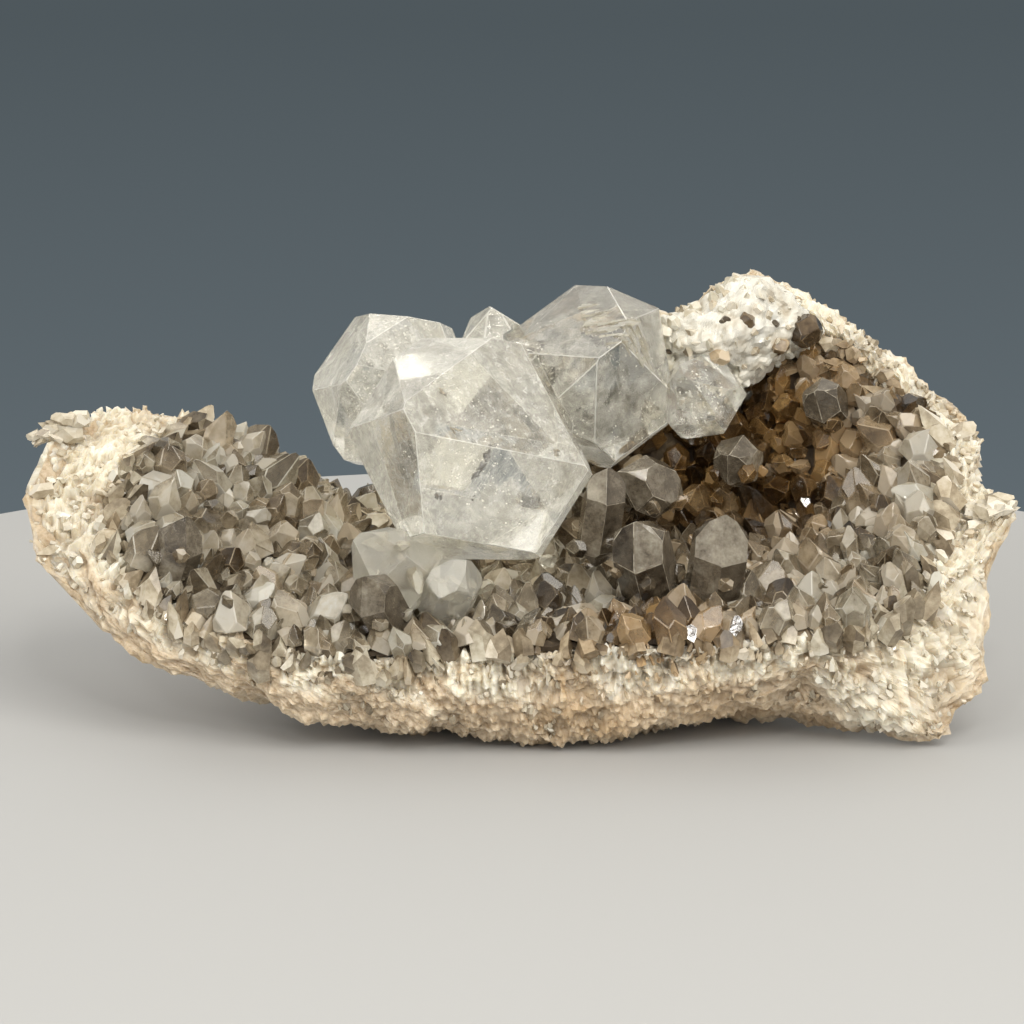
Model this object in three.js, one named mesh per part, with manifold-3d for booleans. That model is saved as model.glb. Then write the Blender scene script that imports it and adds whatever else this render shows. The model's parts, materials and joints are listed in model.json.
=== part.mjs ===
import * as THREE from 'three';
import { ConvexGeometry } from 'three/addons/geometries/ConvexGeometry.js';
import { mergeVertices } from 'three/addons/utils/BufferGeometryUtils.js';
import Module from 'manifold-3d';

const wasm = await Module();
wasm.setup();
const { Manifold, Mesh } = wasm;

// Herkimer diamonds on a smoky quartz druse. Sizes in mm, X to the right, Y to the back, Z up.
// The crust is a broken dish of cream rock; everything else grows on the inside of it.

const around = 60;            // points in every loop of the crust
const seam = 0.3;             // gap kept between two pieces that touch
const druseDepth = 2.6;       // rock to the tips of the small crystals
const prismToRhomb = 38.2;    // quartz: angle between a prism face and the end face above it

// Solids and meshes

function solidOf(geometry) {
  const bare = geometry.clone();
  bare.deleteAttribute('normal');
  bare.deleteAttribute('uv');
  const joined = mergeVertices(bare, 1e-4);
  return new Manifold(new Mesh({
    numProp: 3,
    vertProperties: new Float32Array(joined.attributes.position.array),
    triVerts: new Uint32Array(joined.index.array),
  }));
}

function geometryOf(solid) {
  const mesh = solid.getMesh();
  const geometry = new THREE.BufferGeometry();
  geometry.setAttribute('position', new THREE.BufferAttribute(new Float32Array(mesh.vertProperties), 3));
  geometry.setIndex(new THREE.BufferAttribute(new Uint32Array(mesh.triVerts), 1));
  geometry.computeVertexNormals();
  return geometry;
}

function largestPart(solid) {
  return solid.decompose().reduce((best, part) => (part.volume() > best.volume() ? part : best));
}

// Quartz crystals: six prism faces, six end faces above them and six below, each moved out
// from the middle by its own distance. The long axis points to a compass angle and a height.

function direction(compass, height) {
  const a = THREE.MathUtils.degToRad(compass);
  const h = THREE.MathUtils.degToRad(height);
  return new THREE.Vector3(Math.cos(a) * Math.cos(h), Math.sin(a) * Math.cos(h), Math.sin(h));
}

function habitFaces({ axis, roll, prism, upper, lower }) {
  const turn = new THREE.Matrix4().makeRotationZ(THREE.MathUtils.degToRad(axis[0]));
  turn.multiply(new THREE.Matrix4().makeRotationY(THREE.MathUtils.degToRad(90 - axis[1])));
  turn.multiply(new THREE.Matrix4().makeRotationZ(THREE.MathUtils.degToRad(roll)));
  const faces = [];
  for (let side = 0; side < 6; side += 1) {
    const compass = side * 60;
    faces.push({ out: direction(compass, 0).applyMatrix4(turn), far: prism[side] });
    faces.push({ out: direction(compass, prismToRhomb).applyMatrix4(turn), far: upper[side] });
    faces.push({ out: direction(compass, -prismToRhomb).applyMatrix4(turn), far: lower[side] });
  }
  return faces;
}

function cornersOf(faces) {
  const corners = [];
  const hit = new THREE.Vector3();
  for (let i = 0; i < faces.length; i += 1) {
    for (let j = i + 1; j < faces.length; j += 1) {
      const across = new THREE.Vector3().crossVectors(faces[i].out, faces[j].out);
      for (let k = j + 1; k < faces.length; k += 1) {
        const spread = across.dot(faces[k].out);
        if (Math.abs(spread) < 1e-3) continue;
        hit.copy(across).multiplyScalar(faces[k].far);
        hit.addScaledVector(new THREE.Vector3().crossVectors(faces[j].out, faces[k].out), faces[i].far);
        hit.addScaledVector(new THREE.Vector3().crossVectors(faces[k].out, faces[i].out), faces[j].far);
        hit.divideScalar(spread);
        const inside = faces.every((face) => face.out.dot(hit) <= face.far + 1e-6);
        if (inside && !corners.some((corner) => corner.distanceTo(hit) < 1e-3)) corners.push(hit.clone());
      }
    }
  }
  return corners;
}

function crystal(shape, extra = 0) {
  const grown = (list) => list.map((far) => far + extra);
  const faces = habitFaces({
    ...shape, prism: grown(shape.prism), upper: grown(shape.upper), lower: grown(shape.lower),
  });
  const corners = cornersOf(faces).map((corner) => corner.add(new THREE.Vector3(...shape.at)));
  return solidOf(new ConvexGeometry(corners));
}

// The big clear crystals, largest first. Each is seen nearly along its long axis.

const clear = {
  front: {
    at: [-3.2, 0, 16.5], axis: [-104, 25], roll: 63,
    prism: [7.0, 6.0, 6.9, 6.0, 5.7, 6.2],
    upper: [5.2, 4.6, 6.3, 7.1, 6.6, 8.3],
    lower: [6.6, 6.6, 6.4, 6.4, 6.6, 6.6],
  },
  right: {
    at: [4.5, 7.5, 19.5], axis: [-80, 28], roll: 34,
    prism: [5.2, 4.6, 5.4, 5.6, 5.0, 4.7],
    upper: [4.6, 5.0, 5.6, 4.4, 5.2, 5.4],
    lower: [4.6, 4.4, 4.4, 4.2, 4.4, 4.6],
  },
  left: {
    at: [-7.9, 9.6, 18.1], axis: [-112, 20], roll: 60,
    prism: [4.4, 4.9, 4.6, 5.0, 4.4, 4.7],
    upper: [4.2, 4.8, 5.6, 4.6, 5.0, 4.6],
    lower: [4.0, 4.2, 4.4, 4.2, 4.0, 4.1],
  },
  far_right: {
    at: [11.4, 6.6, 18.6], axis: [-120, 35], roll: 15,
    prism: [2.3, 2.4, 2.5, 2.3, 2.4, 2.5],
    upper: [2.4, 2.7, 2.3, 2.6, 2.4, 2.7],
    lower: [2.5, 2.4, 2.6, 2.5, 2.4, 2.5],
  },
  middle: {
    at: [-1.5, 9.6, 20.8], axis: [-95, 60], roll: 20,
    prism: [2.2, 2.1, 2.0, 2.2, 2.0, 2.1],
    upper: [2.5, 2.6, 2.3, 2.6, 2.5, 2.7],
    lower: [2.6, 2.6, 2.6, 2.6, 2.6, 2.6],
  },
};

// Pale crystals at the foot of the front one.

const foot = {
  foot_left: {
    at: [-7.4, -5.4, 10.6], axis: [-150, 40], roll: 10,
    prism: [2.2, 1.9, 2.1, 2.3, 1.8, 2.0],
    upper: [2.5, 2.3, 2.7, 2.4, 2.2, 2.6],
    lower: [2.6, 2.4, 2.6, 2.5, 2.6, 2.4],
  },
  foot_right: {
    at: [-4.2, -6.6, 9.4], axis: [-60, 55], roll: 40,
    prism: [1.5, 1.4, 1.7, 1.5, 1.6, 1.4],
    upper: [1.9, 2.1, 1.8, 2.0, 1.7, 2.1],
    lower: [2.2, 2.2, 2.2, 2.2, 2.2, 2.2],
  },
};

// Larger smoky crystals that stand clear of the carpet: place, width, length, axis and roll.

const smoky = {
  smoky_1: { at: [12.0, -3.6, 10.2], width: 3.5, length: 6.2, axis: [-70, 72], roll: 12 },
  smoky_2: { at: [7.6, -4.2, 10.6], width: 3.4, length: 6.4, axis: [-110, 55], roll: 35 },
  smoky_3: { at: [5.0, -0.9, 12.6], width: 2.6, length: 6.4, axis: [-60, 76], roll: 5 },
  smoky_4: { at: [8.1, 1.9, 13.9], width: 3.0, length: 4.2, axis: [-150, 25], roll: 50 },
  smoky_5: { at: [13.8, 5.4, 14.7], width: 2.7, length: 3.8, axis: [-110, 20], roll: 20 },
  smoky_6: { at: [19.4, 7.2, 18.0], width: 2.5, length: 3.8, axis: [-115, 30], roll: 44 },
  smoky_7: { at: [-8.4, -8.2, 8.9], width: 2.7, length: 5.0, axis: [-120, 52], roll: 28 },
  smoky_8: { at: [-21.0, -4.6, 11.2], width: 2.8, length: 4.6, axis: [-40, 66], roll: 8 },
};

function smokyShape({ at, width, length, axis, roll }) {
  const half = width / 2;
  const end = half * 0.62 + (length / 2) * 0.62;
  const uneven = (base, step) => [0, 1, 2, 3, 4, 5].map((side) => base * (1 + 0.09 * Math.sin(step * (side + 1))));
  return { at, axis, roll, prism: uneven(half, 2.3), upper: uneven(end * 0.8, 4.1), lower: uneven(end * 0.8, 3.3) };
}

// The crust: two hand-drawn rims, the inner one where the druse starts and the outer one
// where the broken edge ends. The dish between them hangs from a low floor.

const dishCentre = new THREE.Vector2(1.0, -0.5);
const floorHeight = 6.3;
const dishRings = [0.12, 0.24, 0.36, 0.47, 0.58, 0.68, 0.78, 0.87, 0.95];   // share of the way out to the rim

const innerRim = [
  [0, -10.6, 6.8], [-10.5, -10.2, 6.3], [-16.7, -9.2, 6.9], [-21.6, -7.5, 8.3], [-24.4, -5.5, 10.2],
  [-25.5, -3, 12.2], [-25.2, 0, 14.5], [-24, 3, 16.2], [-20.7, 7, 17.0], [-16.6, 10.4, 12.6],
  [-11.5, 13, 9.8], [-4, 13.8, 10.6], [2, 13.4, 13.5], [7, 12.8, 19.0], [11.4, 12.6, 22.4],
  [14.8, 12.6, 24.8], [19.2, 12, 23.0], [24.6, 9.2, 19.4], [27.4, 5, 16.4], [26.8, 0.8, 13.4],
  [25.6, -3.8, 10.2], [22.6, -8.2, 7.8], [16, -10.2, 7.4], [8, -10.7, 7.1],
];

const outerRim = [
  [-1.5, -9.6, 1.3], [-10.5, -9.2, 2.0], [-17.5, -8.2, 3.6], [-23.5, -6.8, 5.6], [-27.2, -5.2, 8.2],
  [-30.0, -3.2, 11.2], [-30.6, -0.5, 14.4], [-29.4, 2.4, 17.0], [-25.5, 6.6, 17.8], [-19.6, 11.4, 15.6],
  [-13, 15.4, 9.4], [-4, 16.4, 8.8], [3, 16, 12], [8.5, 15.3, 20], [14.6, 15, 25.4],
  [20.5, 14.2, 22.2], [26.4, 10.6, 18.2], [29.0, 5.4, 15.6], [28.4, 2.6, 14.4], [30.6, -0.4, 12.9],
  [28.8, -2.6, 10.4], [28.6, -5.4, 5.4], [26.2, -8.2, 0.5], [22.2, -9.0, 1.6], [17.8, -9.6, 4.6],
  [13, -9.6, 3.0], [8, -9.6, 2.2], [3.6, -9.4, 0.9],
];

const flatSpot = { x: 1.5, y: 1.2, halfWidth: 10.5, halfDepth: 7.0 };

function rimAt(points) {
  const curve = new THREE.CatmullRomCurve3(points.map((p) => new THREE.Vector3(...p)), true, 'centripetal');
  const samples = curve.getPoints(900).map((p) => ({
    p, angle: Math.atan2(p.y - dishCentre.y, p.x - dishCentre.x),
  }));
  return (angle) => {
    let best = samples[0];
    for (const sample of samples) {
      const miss = Math.abs(Math.atan2(Math.sin(sample.angle - angle), Math.cos(sample.angle - angle)));
      const least = Math.abs(Math.atan2(Math.sin(best.angle - angle), Math.cos(best.angle - angle)));
      if (miss < least) best = sample;
    }
    return best.p.clone();
  };
}

const innerRimAt = rimAt(innerRim);
const outerRimAt = rimAt(outerRim);

// How late the wall rises: gentle at the front and left, steep at the back right.
function wallPower(angle) {
  const steep = Math.max(0, Math.cos(angle - THREE.MathUtils.degToRad(48)));
  return 1.7 + 2.3 * steep * steep;
}

function lump(x, y, z, size) {
  return size * (Math.sin(0.9 * x + 1.3 * z) * Math.sin(1.1 * y + 0.6 * x) + 0.5 * Math.sin(2.3 * x - 1.9 * y + z));
}

function dishAt(angle, out) {
  const rim = innerRimAt(angle);
  const x = THREE.MathUtils.lerp(dishCentre.x, rim.x, out);
  const y = THREE.MathUtils.lerp(dishCentre.y, rim.y, out);
  const z = floorHeight + (rim.z - floorHeight) * out ** wallPower(angle);
  return new THREE.Vector3(x, y, z + lump(x, y, z, 0.25) * Math.min(1, 4 * out));
}

function dishNormal(angle, out) {
  const step = 0.02;
  const along = dishAt(angle + step, out).sub(dishAt(angle - step, out));
  const outward = dishAt(angle, Math.min(1, out + step)).sub(dishAt(angle, out - step));
  return outward.cross(along).normalize();
}

function above(angle, out, height) {
  if (out < 0.05) return dishAt(angle, 0).add(new THREE.Vector3(0, 0, height));
  return dishAt(angle, out).addScaledVector(dishNormal(angle, out), height);
}

function angleOf(step) {
  return (step / around) * Math.PI * 2;
}

// Closed body from a first point, rings of equal count and a last point.
function shell(first, rings, last) {
  const points = [first, ...rings.flat(), last];
  const tris = [];
  const count = rings[0].length;
  const id = (ring, step) => 1 + ring * count + (step % count);
  for (let step = 0; step < count; step += 1) {
    tris.push(0, id(0, step), id(0, step + 1));
    for (let ring = 0; ring + 1 < rings.length; ring += 1) {
      tris.push(id(ring, step), id(ring + 1, step), id(ring + 1, step + 1));
      tris.push(id(ring, step), id(ring + 1, step + 1), id(ring, step + 1));
    }
    tris.push(points.length - 1, id(rings.length - 1, step + 1), id(rings.length - 1, step));
  }
  const geometry = new THREE.BufferGeometry().setFromPoints(points);
  geometry.setIndex(tris);
  return geometry;
}

function ringOf(pointAt) {
  return Array.from({ length: around }, (_, step) => pointAt(angleOf(step), step));
}

// Broken edge between the two rims, with a ragged middle.
function brokenEdge(angle, step, part, grow) {
  const point = innerRimAt(angle).lerp(outerRimAt(angle), part);
  const ragged = 0.45 * Math.sin(step * 2.7) * Math.sin(step * 1.3 + part * 5) * Math.sin(part * Math.PI);
  const away = new THREE.Vector3(point.x - dishCentre.x, point.y - dishCentre.y, 0).normalize();
  const bulge = 0.7 * Math.sin(part * Math.PI) + ragged + grow;
  return point.addScaledVector(away, bulge).add(new THREE.Vector3(0, 0, 0.3 * ragged + grow));
}

function undersideAt(angle, part) {
  const rim = outerRimAt(angle);
  const flatX = flatSpot.x + flatSpot.halfWidth * Math.cos(angle);
  const flatY = flatSpot.y + flatSpot.halfDepth * Math.sin(angle);
  const x = THREE.MathUtils.lerp(flatX, rim.x, part);
  const y = THREE.MathUtils.lerp(flatY, rim.y, part);
  const z = rim.z * part ** 1.35;
  return new THREE.Vector3(x, y, Math.max(0.25, z + lump(x, y, z, 0.3) * part));
}

function makeCrust(grow = 0) {
  const rings = [];
  for (const out of dishRings) rings.push(ringOf((angle) => above(angle, out, grow)));
  rings.push(ringOf((angle) => innerRimAt(angle).add(new THREE.Vector3(0, 0, grow))));
  for (const part of [0.3, 0.65, 1]) {
    rings.push(ringOf((angle, step) => brokenEdge(angle, step, part, grow)));
  }
  for (const part of [0.8, 0.55, 0.28]) {
    rings.push(ringOf((angle) => undersideAt(angle, part)));
  }
  rings.push(ringOf((angle) => new THREE.Vector3(
    flatSpot.x + flatSpot.halfWidth * Math.cos(angle), flatSpot.y + flatSpot.halfDepth * Math.sin(angle), 0,
  )));
  const top = above(0, 0, grow);
  return solidOf(shell(top, rings, new THREE.Vector3(flatSpot.x, flatSpot.y, 0)));
}

// The druse: a blanket on the dish, its upper face raised into one low pyramid per cell.
function makeDruse() {
  const count = around;
  const under = dishRings.map((out) => ringOf((angle) => above(angle, out, seam)));
  const valley = (angle, step, ring) => 1.15 + 0.35 * Math.sin(step * 1.9 + ring * 2.3);
  const over = dishRings.map((out, ring) => ringOf((angle, step) => above(angle, out, valley(angle, step, ring))));
  const points = [above(0, 0, seam), above(0, 0, 1.6), ...under.flat(), ...over.flat()];
  const lowId = (ring, step) => 2 + ring * count + (step % count);
  const highId = (ring, step) => 2 + (dishRings.length + ring) * count + (step % count);
  const tris = [];
  for (let step = 0; step < count; step += 1) {
    tris.push(0, lowId(0, step + 1), lowId(0, step));
    tris.push(1, highId(0, step), highId(0, step + 1));
    for (let ring = 0; ring + 1 < dishRings.length; ring += 1) {
      const a = lowId(ring, step);
      const b = lowId(ring + 1, step);
      const c = lowId(ring + 1, step + 1);
      const d = lowId(ring, step + 1);
      tris.push(a, c, b, a, d, c);
      const reach = druseDepth - 0.45 * Math.abs(Math.sin(step * 3.1 + ring * 1.7));
      const tip = above(angleOf(step + 0.5), (dishRings[ring] + dishRings[ring + 1]) / 2, reach);
      const tipId = points.push(tip) - 1;
      const [e, f, g, h] = [highId(ring, step), highId(ring + 1, step), highId(ring + 1, step + 1), highId(ring, step + 1)];
      tris.push(e, f, tipId, f, g, tipId, g, h, tipId, h, e, tipId);
    }
    const rim = dishRings.length - 1;
    tris.push(lowId(rim, step), lowId(rim, step + 1), highId(rim, step + 1));
    tris.push(lowId(rim, step), highId(rim, step + 1), highId(rim, step));
  }
  const geometry = new THREE.BufferGeometry().setFromPoints(points);
  geometry.setIndex(tris);
  return solidOf(geometry);
}

// White ledge: a sugary shelf along the top of the steep wall, lofted from left to right.
const ledgeStations = [
  { x: 7.7, y: 11.2, top: 22.4, bottom: 20.4, front: 9.0 },
  { x: 9.2, y: 11.8, top: 23.4, bottom: 19.4, front: 8.0 },
  { x: 11.4, y: 12.2, top: 23.9, bottom: 18.0, front: 7.4 },
  { x: 13.4, y: 12.6, top: 25.6, bottom: 17.5, front: 7.3 },
  { x: 15.2, y: 12.6, top: 25.9, bottom: 18.6, front: 7.6 },
  { x: 17.2, y: 12.2, top: 24.2, bottom: 20.2, front: 8.4 },
  { x: 18.9, y: 11.4, top: 22.6, bottom: 21.4, front: 9.8 },
];

function makeLedge(grow = 0) {
  const corners = 8;
  const rings = ledgeStations.map(({ x, y, top, bottom, front }, station) => {
    const middle = (front + y) / 2;
    const height = (top + bottom) / 2;
    return Array.from({ length: corners }, (_, corner) => {
      const angle = (-corner / corners) * Math.PI * 2;
      const rough = 1 + 0.07 * Math.sin(station * 2.1 + corner * 3.7);
      const forward = Math.cos(angle) * ((y - front) / 2 + 0.6 + grow) * rough;
      const upward = Math.sin(angle) * ((top - bottom) / 2 + grow) * rough;
      return new THREE.Vector3(x, middle + forward, height + upward - 0.25 * forward);
    });
  });
  const tip = (station, side) => new THREE.Vector3(
    station.x + side * (0.5 + grow), (station.front + station.y) / 2, (station.top + station.bottom) / 2,
  );
  return solidOf(shell(tip(ledgeStations[0], -1), rings, tip(ledgeStations[ledgeStations.length - 1], 1)));
}

// Cut every piece back from the pieces it meets, the larger piece keeping its shape.

const crust = makeCrust();
const wall = makeCrust(seam);
const bodies = { crust };
const socketed = [];

function settle(name, shape, keepOff) {
  let body = crystal(shape);
  for (const other of keepOff) body = body.subtract(other);
  bodies[name] = largestPart(body);
  socketed.push(crystal(shape, seam));
}

for (const [name, shape] of Object.entries(clear)) {
  settle(`${name}_crystal`, shape, [wall, ...socketed]);
}
for (const [name, shape] of Object.entries(foot)) {
  settle(`${name}_crystal`, shape, [wall, ...socketed]);
}
for (const [name, data] of Object.entries(smoky)) {
  settle(`${name}_crystal`, smokyShape(data), [wall, ...socketed]);
}

const ledge = largestPart(socketed.reduce((body, other) => body.subtract(other), makeLedge().subtract(wall)));
bodies.white_quartz_ledge = ledge;
const druse = socketed.reduce((body, other) => body.subtract(other), makeDruse()).subtract(makeLedge(seam));
bodies.smoky_druse = largestPart(druse);

// Materials

const looks = {
  crust: { color: 0xc9b79a, roughness: 0.9, metalness: 0 },
  smoky_druse: { color: 0x8a7c6c, roughness: 0.35, metalness: 0 },
  white_quartz_ledge: { color: 0xe6dfcf, roughness: 0.6, metalness: 0 },
  clear: { color: 0xe9e7df, roughness: 0.06, metalness: 0 },
  foot: { color: 0xdcd6c8, roughness: 0.2, metalness: 0 },
  smoky: { color: 0x6f6459, roughness: 0.12, metalness: 0 },
};

function lookOf(name) {
  if (looks[name]) return looks[name];
  if (name.startsWith('smoky')) return looks.smoky;
  if (name.startsWith('foot')) return looks.foot;
  return looks.clear;
}

const group = new THREE.Group();
group.name = 'herkimer_specimen';
for (const [name, solid] of Object.entries(bodies)) {
  const mesh = new THREE.Mesh(geometryOf(solid), new THREE.MeshStandardMaterial(lookOf(name)));
  mesh.name = name;
  mesh.material.name = name;
  group.add(mesh);
}

// Stand the specimen with the middle of its box on the origin.
const box = new THREE.Box3().setFromObject(group);
const middle = box.getCenter(new THREE.Vector3());
for (const mesh of group.children) mesh.geometry.translate(-middle.x, -middle.y, -box.min.z);

export default group;
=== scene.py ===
import itertools
import json
import math

import bpy
import numpy as np
from mathutils import Matrix, Vector, noise
from mathutils.bvhtree import BVHTree

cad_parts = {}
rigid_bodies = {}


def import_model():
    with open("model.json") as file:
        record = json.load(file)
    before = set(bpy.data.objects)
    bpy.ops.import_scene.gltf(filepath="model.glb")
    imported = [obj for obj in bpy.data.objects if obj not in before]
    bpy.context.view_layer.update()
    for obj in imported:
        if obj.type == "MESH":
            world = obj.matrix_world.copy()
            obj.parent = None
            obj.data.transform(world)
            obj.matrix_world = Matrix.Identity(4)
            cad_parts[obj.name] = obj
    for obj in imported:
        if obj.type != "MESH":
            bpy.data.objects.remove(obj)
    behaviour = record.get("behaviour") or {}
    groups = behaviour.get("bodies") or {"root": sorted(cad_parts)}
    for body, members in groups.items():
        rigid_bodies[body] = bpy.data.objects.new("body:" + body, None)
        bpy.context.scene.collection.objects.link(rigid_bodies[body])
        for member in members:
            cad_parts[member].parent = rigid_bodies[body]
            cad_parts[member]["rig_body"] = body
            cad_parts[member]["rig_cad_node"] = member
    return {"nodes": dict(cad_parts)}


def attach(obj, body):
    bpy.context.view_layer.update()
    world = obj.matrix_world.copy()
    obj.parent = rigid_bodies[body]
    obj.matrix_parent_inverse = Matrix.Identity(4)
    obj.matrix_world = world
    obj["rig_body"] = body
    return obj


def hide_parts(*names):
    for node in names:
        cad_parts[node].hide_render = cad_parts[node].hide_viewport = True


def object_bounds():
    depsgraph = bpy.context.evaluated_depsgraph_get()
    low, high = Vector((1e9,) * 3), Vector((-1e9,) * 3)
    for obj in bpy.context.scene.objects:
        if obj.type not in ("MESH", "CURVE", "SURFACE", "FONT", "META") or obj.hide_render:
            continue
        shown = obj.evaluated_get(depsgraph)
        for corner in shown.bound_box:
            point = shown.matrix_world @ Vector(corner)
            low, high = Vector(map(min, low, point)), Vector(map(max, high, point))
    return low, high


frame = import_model()
cad_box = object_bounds()
nodes = frame["nodes"]
mm = 0.001


# Crust: the broken plate of cream dolomite rock that everything grew on, 5 to 6 mm thick.
# Its broken edge is sugary and ragged, its outer skin tan, with brown iron stains.

weld_gap = 0.002 * mm


def pick(piece):
    bpy.ops.object.select_all(action="DESELECT")
    piece.select_set(True)
    bpy.context.view_layer.objects.active = piece


def copy_of(node, name):
    piece = nodes[node].copy()
    piece.data = nodes[node].data.copy()
    piece.name = name
    piece.data.name = name
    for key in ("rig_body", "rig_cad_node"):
        if key in piece:
            del piece[key]
    piece.parent = None
    piece.matrix_world = Matrix.Identity(4)
    bpy.context.scene.collection.objects.link(piece)
    pick(piece)
    bpy.ops.object.mode_set(mode="EDIT")
    bpy.ops.mesh.select_all(action="SELECT")
    bpy.ops.mesh.remove_doubles(threshold=weld_gap)
    bpy.ops.object.mode_set(mode="OBJECT")
    return piece


def points_of(piece):
    flat = np.empty(len(piece.data.vertices) * 3, np.float32)
    piece.data.vertices.foreach_get("co", flat)
    return flat.reshape(-1, 3).astype(float)


def place_points(piece, points):
    piece.data.vertices.foreach_set("co", points.astype(np.float32).ravel())
    piece.data.update()


def faces_of(mesh):
    count = len(mesh.polygons)
    centres = np.empty(count * 3, np.float32)
    normals = np.empty(count * 3, np.float32)
    areas = np.empty(count, np.float32)
    mesh.polygons.foreach_get("center", centres)
    mesh.polygons.foreach_get("normal", normals)
    mesh.polygons.foreach_get("area", areas)
    return centres.reshape(-1, 3), normals.reshape(-1, 3), areas


def select_faces(piece, wanted):
    piece.data.vertices.foreach_set("select", np.zeros(len(piece.data.vertices), bool))
    piece.data.edges.foreach_set("select", np.zeros(len(piece.data.edges), bool))
    piece.data.polygons.foreach_set("select", np.asarray(wanted, bool))


dish_heart = np.array((0.0, -4.5, 32.0)) * mm
dish_facing = 0.42
skin_facing = -0.6


def facing_heart(mesh):
    """1 where a face looks into the dish, 0 on the broken edge, -1 on the skin underneath."""
    centres, normals = faces_of(mesh)[:2]
    towards = dish_heart - centres
    towards /= np.linalg.norm(towards, axis=1)[:, None]
    return (normals * towards).sum(1)


def tree_of(mesh, wanted):
    corners = [vertex.co for vertex in mesh.vertices]
    sides = [tuple(face.vertices) for face, keep in zip(mesh.polygons, wanted) if keep]
    return BVHTree.FromPolygons(corners, sides)


def whole_tree(mesh):
    return tree_of(mesh, np.ones(len(mesh.polygons), bool))


crust_cad = nodes["crust"].data
crust_facing = facing_heart(crust_cad)
dish_tree = tree_of(crust_cad, crust_facing >= dish_facing)
skin_tree = tree_of(crust_cad, crust_facing < skin_facing)
druse_cad = nodes["smoky_druse"].data
druse_tree = whole_tree(druse_cad)


def across_plate(place):
    """The nearest point of the dish, and how far through the plate a place is: 0 dish, 1 skin."""
    dish_point = dish_tree.find_nearest(place)[0]
    skin_point = skin_tree.find_nearest(place)[0]
    from_dish = (place - dish_point).length
    from_skin = (place - skin_point).length
    return dish_point, from_dish / (from_dish + from_skin + 1e-9)


def bare_strip(mesh):
    """The faces that look into the dish beyond the edge of the druse."""
    lift = 0.02
    druse_depth = 1.2 * mm
    bare = []
    for face, facing in zip(mesh.polygons, facing_heart(mesh)):
        cover = druse_tree.ray_cast(face.center + face.normal * lift * mm, face.normal, druse_depth)[0]
        bare.append(facing >= dish_facing and cover is None)
    return np.array(bare)


def between(value, least, most):
    return min(most, max(least, value))


lump_size = 3.4 * mm
knob_size = 1.2 * mm
column_size = 0.42 * mm
grain_size = 0.6 * mm
grit_size = 0.24 * mm
skin_depth = 0.85


def crust_relief(place, column, through):
    """How far the broken rock stands out, in mm: lumps, column ends in the band, grains, grit."""
    in_band = between((skin_depth - through) * 6, 0.0, 1.0)
    lumps = noise.noise(place / lump_size) * 0.7 + noise.noise(place / knob_size) * 0.3
    column_end = noise.voronoi(column / column_size)[0][0]
    grain = noise.voronoi(place / grain_size)[0][0]
    grit = noise.noise(place / grit_size)
    return lumps * 0.9 + in_band * (0.32 - column_end * 1.05) + (0.2 - grain * 0.6) + grit * 0.2


crust = copy_of("crust", "crust_rock")
select_faces(crust, (facing_heart(crust.data) < dish_facing) | bare_strip(crust.data))
pick(crust)
bpy.ops.object.mode_set(mode="EDIT")
bpy.ops.mesh.select_mode(type="FACE")
bpy.ops.mesh.subdivide(number_cuts=5)
bpy.ops.mesh.subdivide(number_cuts=1)
bpy.ops.object.mode_set(mode="OBJECT")
low, high = (np.array(corner) for corner in cad_box)
across = np.zeros(len(crust.data.vertices))
hollow = np.zeros(len(crust.data.vertices))
columns = np.zeros((len(crust.data.vertices), 3))
moved = points_of(crust)
for face in crust.data.polygons:
    if face.select:
        across[list(face.vertices)] = 1
for vertex in crust.data.vertices:
    place = vertex.co.copy()
    if across[vertex.index] == 0:
        columns[vertex.index] = place
        continue
    dish_point, through = across_plate(place)
    column = dish_point + (place - dish_point) * 0.3
    relief = crust_relief(place, column, through)
    across[vertex.index] = through
    columns[vertex.index] = column
    # Painted shade: the lower the relief, the more its hollows are darkened towards brown.
    hollow[vertex.index] = between(0.35 - relief * 0.7, 0.0, 1.0)
    moved[vertex.index] = place + vertex.normal * relief * mm
place_points(crust, np.clip(moved, low, high))
for name, values in (("across", across), ("hollow", hollow)):
    made = crust.data.attributes.new(name, "FLOAT", "POINT")
    made.data.foreach_set("value", values.astype(np.float32))
made = crust.data.attributes.new("columns", "FLOAT_VECTOR", "POINT")
made.data.foreach_set("vector", columns.astype(np.float32).ravel())


def material(name, **values):
    """A new material with plain values on its shader. An underscore stands for a space."""
    made = bpy.data.materials.new(name)
    made.use_nodes = True
    shader = made.node_tree.nodes["Principled BSDF"]
    for socket, value in values.items():
        shader.inputs[socket.replace("_", " ")].default_value = value
    return made, made.node_tree, shader


def node(tree, kind, links=None, **settings):
    made = tree.nodes.new(kind)
    for key, value in settings.items():
        if key in made.inputs:
            made.inputs[key].default_value = value
        else:
            setattr(made, key, value)
    for socket, source in (links or {}).items():
        tree.links.new(source, made.inputs[socket])
    return made


def drive(tree, shader, **sources):
    """Links the sources to the shader's sockets. An underscore stands for a space."""
    for socket, source in sources.items():
        tree.links.new(source, shader.inputs[socket.replace("_", " ")])


def own_place(tree):
    return node(tree, "ShaderNodeTexCoord").outputs["Object"]


def attribute(tree, name, output="Fac"):
    return node(tree, "ShaderNodeAttribute", attribute_name=name).outputs[output]


def ramp(tree, source, *stops):
    made = node(tree, "ShaderNodeValToRGB", {"Fac": source})
    elements = made.color_ramp.elements
    while len(elements) < len(stops):
        elements.new(0.5)
    for element, (place, colour) in zip(elements, stops):
        if isinstance(colour, float):
            colour = (colour, colour, colour)
        element.position = place
        element.color = (*colour, 1)
    return made.outputs["Color"]


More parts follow.
